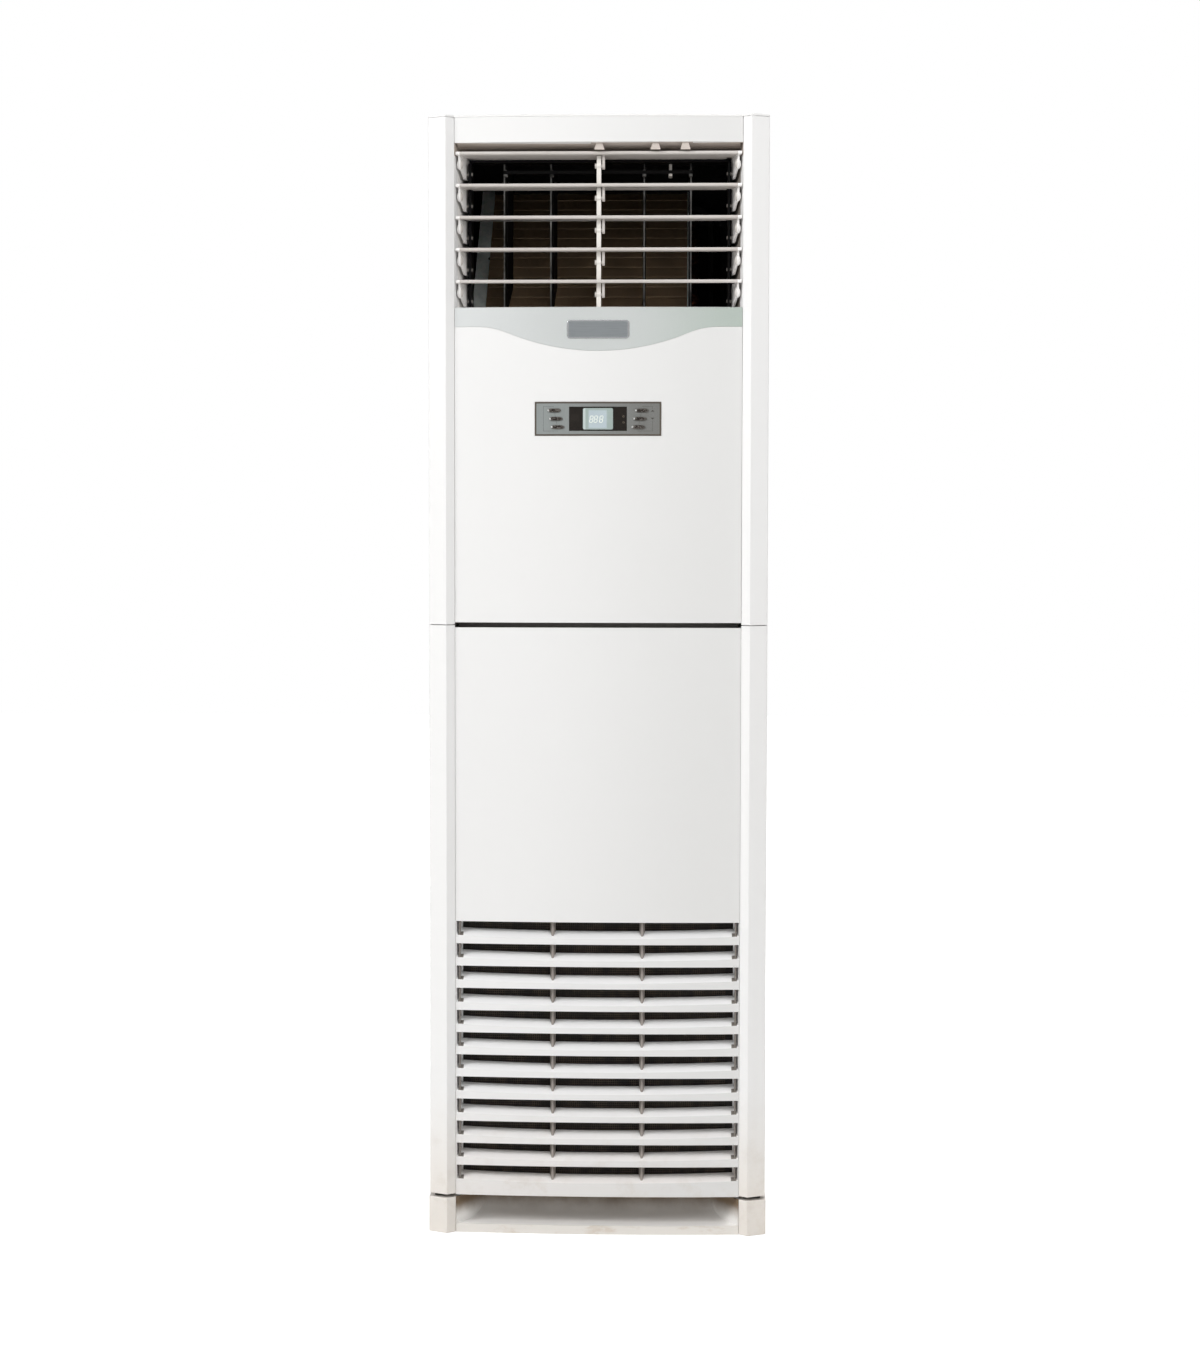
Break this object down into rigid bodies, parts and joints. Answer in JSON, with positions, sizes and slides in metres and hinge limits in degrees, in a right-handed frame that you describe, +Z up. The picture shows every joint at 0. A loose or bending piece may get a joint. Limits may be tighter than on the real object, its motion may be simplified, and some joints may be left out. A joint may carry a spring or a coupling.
{
  "type": "floor standing air conditioner",
  "caption": "Tall floor standing air conditioner: tilting outlet blades at the top, button panel with display, plain front, and a louvred intake panel that hinges open at the foot.",
  "frame": {"origin": "centre of the footprint, on the floor", "axes": "+X is the viewer's right, -Y is the front, +Z is up"},
  "size_m": [0.54, 0.3799, 1.776],
  "materials": {
    "cabinet_plastic": "satin moulded",
    "intake_plastic": "satin moulded",
    "duct_plastic": "satin moulded",
    "painted_sheet": "powder coated",
    "band_film": "pearl metallic film",
    "badge": "satin silver",
    "bezel_silver": "silver painted",
    "button_silver": "satin metallised",
    "lens_smoke": "smoked",
    "lcd": "clear face",
    "circuit_board": "solder mask",
    "blade_plastic": "satin moulded",
    "link_plastic": "satin moulded",
    "dark_plastic": "matt black",
    "small_motor": "zinc plated",
    "fin_aluminium": "coated fins",
    "galvanised": "galvanised sheet",
    "copper": "bare copper",
    "nut_brass": "machined",
    "drain_plastic": "moulded",
    "drain_hose": "moulded",
    "wheel_plastic": "moulded",
    "fan_motor": "black enamel",
    "terminal_plastic": "moulded",
    "gland_plastic": "moulded",
    "screw_steel": "zinc plated",
    "foam": "open foam",
    "filter_mesh": "woven nylon mesh"
  },
  "bodies": {
    "cabinet": {"accent_band": "band_film", "badge_plate": "badge", "base_plate": "painted_sheet", "blower_housing": "galvanised", "cabinet_screws": "screw_steel", "cable_gland": "gland_plastic", "coil_end_plates": "galvanised", "coil_fins": "fin_aluminium", "coil_tubes": "copper", "control_bezel": "bezel_silver", "control_board": "circuit_board", "display_lens": "lens_smoke", "drain_pan": "drain_plastic", "drain_pipe": "drain_hose", "electrical_box": "galvanised", "fan_deck": "galvanised", "fan_motor": "fan_motor", "flare_nuts": "nut_brass", "foam_liner": "foam", "head_bar": "cabinet_plastic", "inlet_cheek": "galvanised", "lcd_module": "lcd", "left_lower_column": "cabinet_plastic", "left_upper_column": "cabinet_plastic", "motor_cheek": "galvanised", "outlet_duct": "duct_plastic", "plinth_blocks": "cabinet_plastic", "rear_panel": "painted_sheet", "refrigerant_pipes": "copper", "right_lower_column": "cabinet_plastic", "right_upper_column": "cabinet_plastic", "side_panels": "painted_sheet", "terminal_block": "terminal_plastic", "toe_scoop": "cabinet_plastic", "top_cover": "painted_sheet", "upper_front_panel": "cabinet_plastic", "vane_frame": "dark_plastic", "vane_motor": "small_motor"},
    "blade_1": {"blade_1": "blade_plastic"},
    "blade_2": {"blade_2": "blade_plastic"},
    "blade_3": {"blade_3": "blade_plastic"},
    "blade_4": {"blade_4": "blade_plastic"},
    "blade_5": {"blade_5": "blade_plastic"},
    "link_bar": {"link_bar": "link_plastic"},
    "vane_1": {"vane_1": "dark_plastic"},
    "vane_2": {"vane_2": "dark_plastic"},
    "vane_3": {"vane_3": "dark_plastic"},
    "vane_4": {"vane_4": "dark_plastic"},
    "vane_5": {"vane_5": "dark_plastic"},
    "vane_link": {"vane_link": "dark_plastic"},
    "vane_crank": {"vane_crank": "link_plastic"},
    "blower_wheel": {"blower_wheel": "wheel_plastic"},
    "intake_panel": {"intake_panel": "intake_plastic"},
    "air_filter": {"air_filter": "filter_mesh"},
    "button_1": {"button_1": "button_silver"},
    "button_2": {"button_2": "button_silver"},
    "button_3": {"button_3": "button_silver"},
    "button_4": {"button_4": "button_silver"},
    "button_5": {"button_5": "button_silver"},
    "button_6": {"button_6": "button_silver"}
  },
  "joints": [
    {"name": "blade_1_tilt", "type": "hinge", "parent": "cabinet", "child": "blade_1", "pos_m": [0, -0.135, 1.69], "axis": [1, 0, 0], "range_deg": [-8, 25]},
    {"name": "blade_2_tilt", "type": "hinge", "parent": "cabinet", "child": "blade_2", "pos_m": [0, -0.135, 1.6398], "axis": [1, 0, 0], "range_deg": [-8, 25]},
    {"name": "blade_3_tilt", "type": "hinge", "parent": "cabinet", "child": "blade_3", "pos_m": [0, -0.135, 1.5896], "axis": [1, 0, 0], "range_deg": [-8, 25]},
    {"name": "blade_4_tilt", "type": "hinge", "parent": "cabinet", "child": "blade_4", "pos_m": [0, -0.135, 1.5394], "axis": [1, 0, 0], "range_deg": [-8, 25]},
    {"name": "blade_5_tilt", "type": "hinge", "parent": "cabinet", "child": "blade_5", "pos_m": [0, -0.135, 1.4892], "axis": [1, 0, 0], "range_deg": [-8, 25]},
    {"name": "link_bar_pivot", "type": "hinge", "parent": "blade_1", "child": "link_bar", "pos_m": [0, -0.1645, 1.6984], "axis": [1, 0, 0], "range_deg": [-25, 8]},
    {"name": "vane_1_swing", "type": "hinge", "parent": "cabinet", "child": "vane_1", "pos_m": [-0.1501, -0.103, 1.6], "axis": [0, 0, 1], "range_deg": [-25, 25]},
    {"name": "vane_2_swing", "type": "hinge", "parent": "cabinet", "child": "vane_2", "pos_m": [-0.0764, -0.103, 1.6], "axis": [0, 0, 1], "range_deg": [-25, 25]},
    {"name": "vane_3_swing", "type": "hinge", "parent": "cabinet", "child": "vane_3", "pos_m": [-0.0027, -0.103, 1.6], "axis": [0, 0, 1], "range_deg": [-25, 25]},
    {"name": "vane_4_swing", "type": "hinge", "parent": "cabinet", "child": "vane_4", "pos_m": [0.071, -0.103, 1.6], "axis": [0, 0, 1], "range_deg": [-25, 25]},
    {"name": "vane_5_swing", "type": "hinge", "parent": "cabinet", "child": "vane_5", "pos_m": [0.1447, -0.103, 1.6], "axis": [0, 0, 1], "range_deg": [-25, 25]},
    {"name": "vane_link_pivot", "type": "hinge", "parent": "vane_1", "child": "vane_link", "pos_m": [-0.1501, -0.125, 1.6945], "axis": [0, 0, 1], "range_deg": [-25, 25]},
    {"name": "vane_crank_turn", "type": "hinge", "parent": "cabinet", "child": "vane_crank", "pos_m": [0.1125, -0.103, 1.7], "axis": [0, 0, 1], "range_deg": [-25, 25]},
    {"name": "blower_spin", "type": "hinge", "parent": "cabinet", "child": "blower_wheel", "pos_m": [-0.015, 0, 0.36], "axis": [0, 1, 0], "continuous": true},
    {"name": "intake_panel_tilt", "type": "hinge", "parent": "cabinet", "child": "intake_panel", "pos_m": [0, -0.172, 0.07], "axis": [1, 0, 0], "range_deg": [0, 30]},
    {"name": "air_filter_slide", "type": "slide", "parent": "intake_panel", "child": "air_filter", "axis": [0, 0, 1], "range_m": [0, 0.44]},
    {"name": "button_1_press", "type": "slide", "parent": "cabinet", "child": "button_1", "axis": [0, 1, 0], "range_m": [0, 0.001], "stiffness_N_per_m": 600},
    {"name": "button_2_press", "type": "slide", "parent": "cabinet", "child": "button_2", "axis": [0, 1, 0], "range_m": [0, 0.001], "stiffness_N_per_m": 600},
    {"name": "button_3_press", "type": "slide", "parent": "cabinet", "child": "button_3", "axis": [0, 1, 0], "range_m": [0, 0.001], "stiffness_N_per_m": 600},
    {"name": "button_4_press", "type": "slide", "parent": "cabinet", "child": "button_4", "axis": [0, 1, 0], "range_m": [0, 0.001], "stiffness_N_per_m": 600},
    {"name": "button_5_press", "type": "slide", "parent": "cabinet", "child": "button_5", "axis": [0, 1, 0], "range_m": [0, 0.001], "stiffness_N_per_m": 600},
    {"name": "button_6_press", "type": "slide", "parent": "cabinet", "child": "button_6", "axis": [0, 1, 0], "range_m": [0, 0.001], "stiffness_N_per_m": 600}
  ],
  "couplings": [
    {"joint": "blade_2_tilt", "follows": "blade_1_tilt", "ratio": 1},
    {"joint": "blade_3_tilt", "follows": "blade_1_tilt", "ratio": 1},
    {"joint": "blade_4_tilt", "follows": "blade_1_tilt", "ratio": 1},
    {"joint": "blade_5_tilt", "follows": "blade_1_tilt", "ratio": 1},
    {"joint": "link_bar_pivot", "follows": "blade_1_tilt", "ratio": -1},
    {"joint": "vane_2_swing", "follows": "vane_1_swing", "ratio": 1},
    {"joint": "vane_3_swing", "follows": "vane_1_swing", "ratio": 1},
    {"joint": "vane_4_swing", "follows": "vane_1_swing", "ratio": 1},
    {"joint": "vane_5_swing", "follows": "vane_1_swing", "ratio": 1},
    {"joint": "vane_link_pivot", "follows": "vane_1_swing", "ratio": -1},
    {"joint": "vane_crank_turn", "follows": "vane_1_swing", "ratio": 1}
  ]
}
